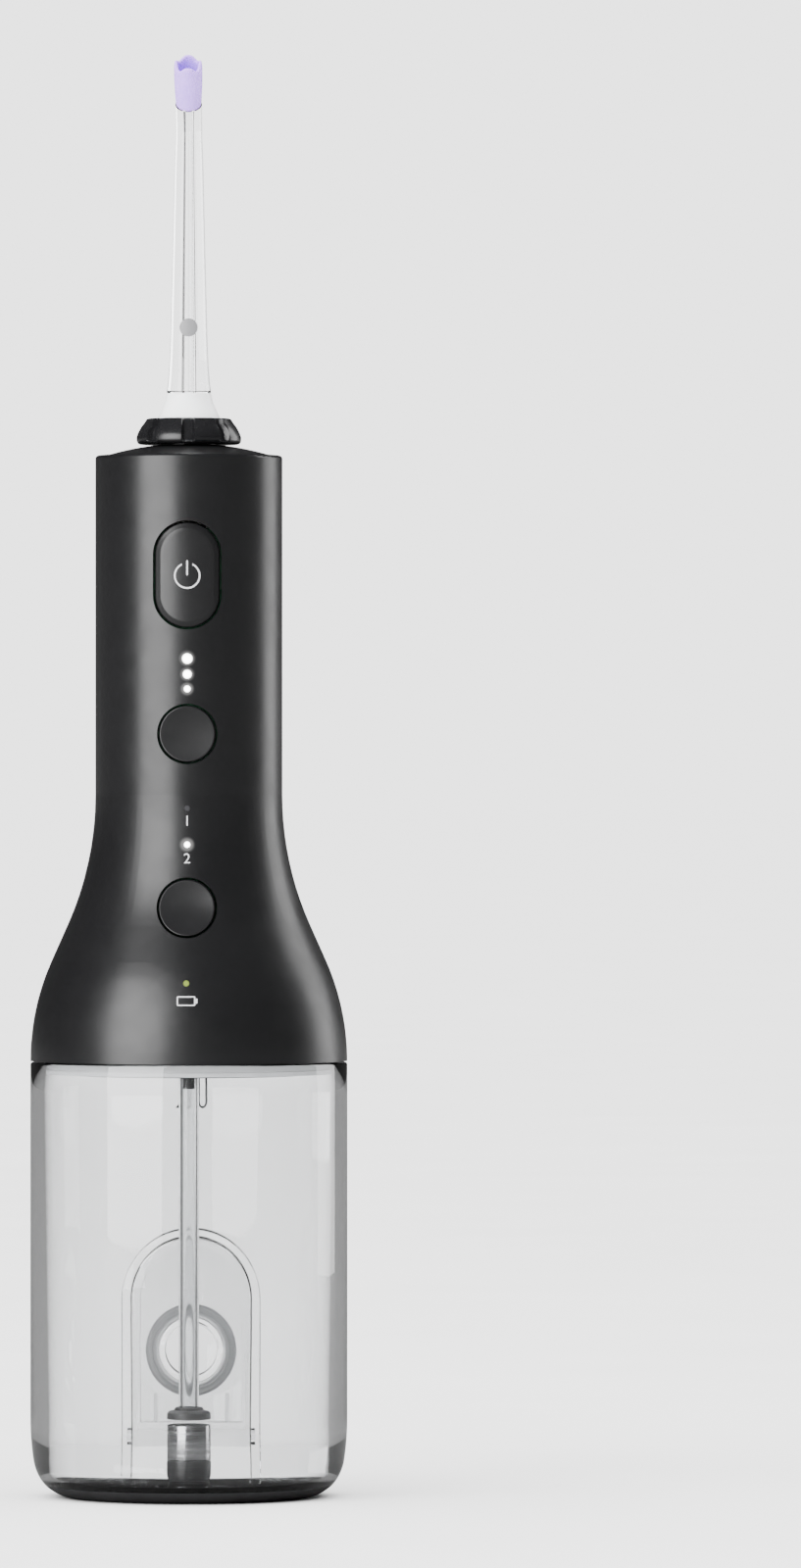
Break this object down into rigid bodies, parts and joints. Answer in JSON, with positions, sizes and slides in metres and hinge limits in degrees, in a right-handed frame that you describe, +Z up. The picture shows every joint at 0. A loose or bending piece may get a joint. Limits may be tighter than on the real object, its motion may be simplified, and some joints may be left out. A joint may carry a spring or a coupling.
{
  "type": "water flosser",
  "caption": "Cordless water flosser: clear round reservoir with a rear fill door, a black handle that narrows to a slim neck, front buttons, and a turning dial with a pull-out angled nozzle.",
  "frame": {"origin": "centre of the base, on the surface that it stands on", "axes": "+Z up along the body's axis, front with the buttons facing -Y, +X to the right seen from the front"},
  "size_m": [0.0694, 0.0694, 0.3158],
  "materials": {
    "pad_rubber": "matte black rubber",
    "reservoir_clear": "clear polished plastic, very slightly smoky",
    "door_clear": "clear polished plastic",
    "seal_grey": "rubber",
    "hose_clear": "clear soft hose",
    "fitting_black": "matte plastic",
    "weight_steel": "turned steel",
    "filter_black": "matte plastic",
    "plate_black": "matte plastic",
    "shell_black": "satin black moulded plastic",
    "cap_black": "matte plastic",
    "button_black": "matte plastic",
    "switch_black": "matte plastic",
    "switch_case": "brushed steel",
    "board_green": "matte plastic",
    "lamp_white": "gloss plastic",
    "guide_clear": "gloss plastic",
    "carrier_grey": "matte plastic",
    "screw_steel": "brushed steel",
    "cell_wrap": "gloss plastic",
    "tab_nickel": "brushed steel",
    "motor_steel": "brushed steel",
    "motor_end": "matte plastic",
    "shaft_steel": "brushed steel",
    "pinion_brass": "brass",
    "gear_white": "matte plastic",
    "piston_white": "matte plastic",
    "seal_black": "rubber",
    "pump_grey": "matte plastic",
    "ball_steel": "chrome",
    "spring_steel": "brushed steel",
    "tube_soft": "rubber",
    "socket_white": "matte plastic",
    "dial_black": "glossy black plastic",
    "nozzle_white": "gloss plastic",
    "nozzle_clear": "clear polished plastic",
    "tip_lilac": "soft translucent lilac elastomer",
    "inlet_black": "matte plastic",
    "pin_brass": "brass",
    "cover_rubber": "rubber"
  },
  "bodies": {
    "tank": {"base_pad": "pad_rubber", "reservoir": "reservoir_clear"},
    "door": {"fill_door": "door_clear", "fill_door_seal": "seal_grey"},
    "handle": {"reservoir_seal": "seal_grey", "intake_fitting": "fitting_black", "base_plate": "plate_black", "housing_shell": "shell_black", "top_cap": "cap_black", "tact_switches": "switch_case", "control_board": "board_green", "indicator_leds": "lamp_white", "intensity_light_guide": "guide_clear", "mode_light_guide": "guide_clear", "battery_light_guide": "guide_clear", "inner_carrier": "carrier_grey", "case_screws": "screw_steel", "battery_cell": "cell_wrap", "battery_tabs": "tab_nickel", "motor_can": "motor_steel", "motor_end_cap": "motor_end", "crank_axle": "shaft_steel", "pump_body": "pump_grey", "inlet_seat": "pump_grey", "outlet_valve_spring": "spring_steel", "outlet_fitting": "pump_grey", "suction_tube": "tube_soft", "outlet_tube": "tube_soft", "nozzle_socket": "socket_white", "socket_o_ring": "seal_black", "retaining_clip": "spring_steel", "release_spring": "spring_steel", "charge_inlet": "inlet_black", "charge_pins": "pin_brass"},
    "intake": {"intake_hose": "hose_clear", "hose_collar": "fitting_black", "hose_weight": "weight_steel", "hose_filter": "filter_black"},
    "power": {"power_button": "button_black", "power_switch_plunger": "switch_black"},
    "intensity": {"intensity_button": "button_black", "intensity_switch_plunger": "switch_black"},
    "mode": {"mode_button": "button_black", "mode_switch_plunger": "switch_black"},
    "release": {"release_button": "button_black"},
    "cover": {"charge_cover": "cover_rubber"},
    "rotor": {"motor_shaft": "shaft_steel", "motor_pinion": "pinion_brass"},
    "crank": {"crank_gear": "gear_white"},
    "plunger": {"connecting_rod": "gear_white", "piston": "piston_white", "piston_seal": "seal_black"},
    "inlet_ball": {"inlet_valve_ball": "ball_steel"},
    "outlet_ball": {"outlet_valve_ball": "ball_steel"},
    "dial": {"nozzle_dial": "dial_black"},
    "nozzle": {"nozzle_base": "nozzle_white", "nozzle_tube": "nozzle_clear", "nozzle_tip": "tip_lilac"}
  },
  "joints": [
    {"name": "handle_lift", "type": "slide", "parent": "tank", "child": "handle", "axis": [0, 0, 1], "range_m": [0, 0.096]},
    {"name": "fill_door_hinge", "type": "hinge", "parent": "tank", "child": "door", "pos_m": [0, 0.0297, 0.0115], "axis": [-1, 0, 0], "range_deg": [0, 95]},
    {"name": "hose_swing", "type": "hinge", "parent": "handle", "child": "intake", "pos_m": [0, 0, 0.0882], "axis": [1, 0, 0], "range_deg": [-10, 10], "deforming": ["intake_hose"]},
    {"name": "power_press", "type": "slide", "parent": "handle", "child": "power", "axis": [0, 1, 0], "range_m": [0, 0.0005], "stiffness_N_per_m": 300, "springref_m": -0.0005},
    {"name": "intensity_press", "type": "slide", "parent": "handle", "child": "intensity", "axis": [0, 1, 0], "range_m": [0, 0.0005], "stiffness_N_per_m": 300, "springref_m": -0.0005},
    {"name": "mode_press", "type": "slide", "parent": "handle", "child": "mode", "axis": [0, 1, 0], "range_m": [0, 0.0005], "stiffness_N_per_m": 300, "springref_m": -0.0005},
    {"name": "release_press", "type": "slide", "parent": "handle", "child": "release", "axis": [0, -1, 0], "range_m": [0, 0.0015], "stiffness_N_per_m": 400, "springref_m": -0.0005, "deforming": ["release_spring", "retaining_clip"]},
    {"name": "charge_cover_hinge", "type": "hinge", "parent": "handle", "child": "cover", "pos_m": [0, 0.03397, 0.10435], "axis": [-1, 0, 0], "range_deg": [0, 100]},
    {"name": "crank_spin", "type": "hinge", "parent": "handle", "child": "crank", "pos_m": [-0.008, 0, 0.1149], "axis": [0, 0, 1], "continuous": true},
    {"name": "motor_spin", "type": "hinge", "parent": "handle", "child": "rotor", "pos_m": [0.005, 0, 0.1149], "axis": [0, 0, 1], "continuous": true},
    {"name": "piston_stroke", "type": "slide", "parent": "handle", "child": "plunger", "axis": [1, 0, 0], "range_m": [-0.00175, 0.00175]},
    {"name": "inlet_valve_lift", "type": "slide", "parent": "handle", "child": "inlet_ball", "axis": [0, 0, 1], "range_m": [0, 0.0004]},
    {"name": "outlet_valve_lift", "type": "slide", "parent": "handle", "child": "outlet_ball", "axis": [0, 0, 1], "range_m": [0, 0.0005], "stiffness_N_per_m": 20, "springref_m": -0.0005, "deforming": ["outlet_valve_spring"]},
    {"name": "dial_spin", "type": "hinge", "parent": "handle", "child": "dial", "pos_m": [0, 0, 0.2335], "axis": [0, 0, 1], "continuous": true},
    {"name": "nozzle_lift", "type": "slide", "parent": "dial", "child": "nozzle", "axis": [0, 0, 1], "range_m": [0, 0.03], "deforming": ["retaining_clip"]}
  ],
  "couplings": [
    {"joint": "motor_spin", "follows": "crank_spin", "ratio": -3.3333}
  ]
}
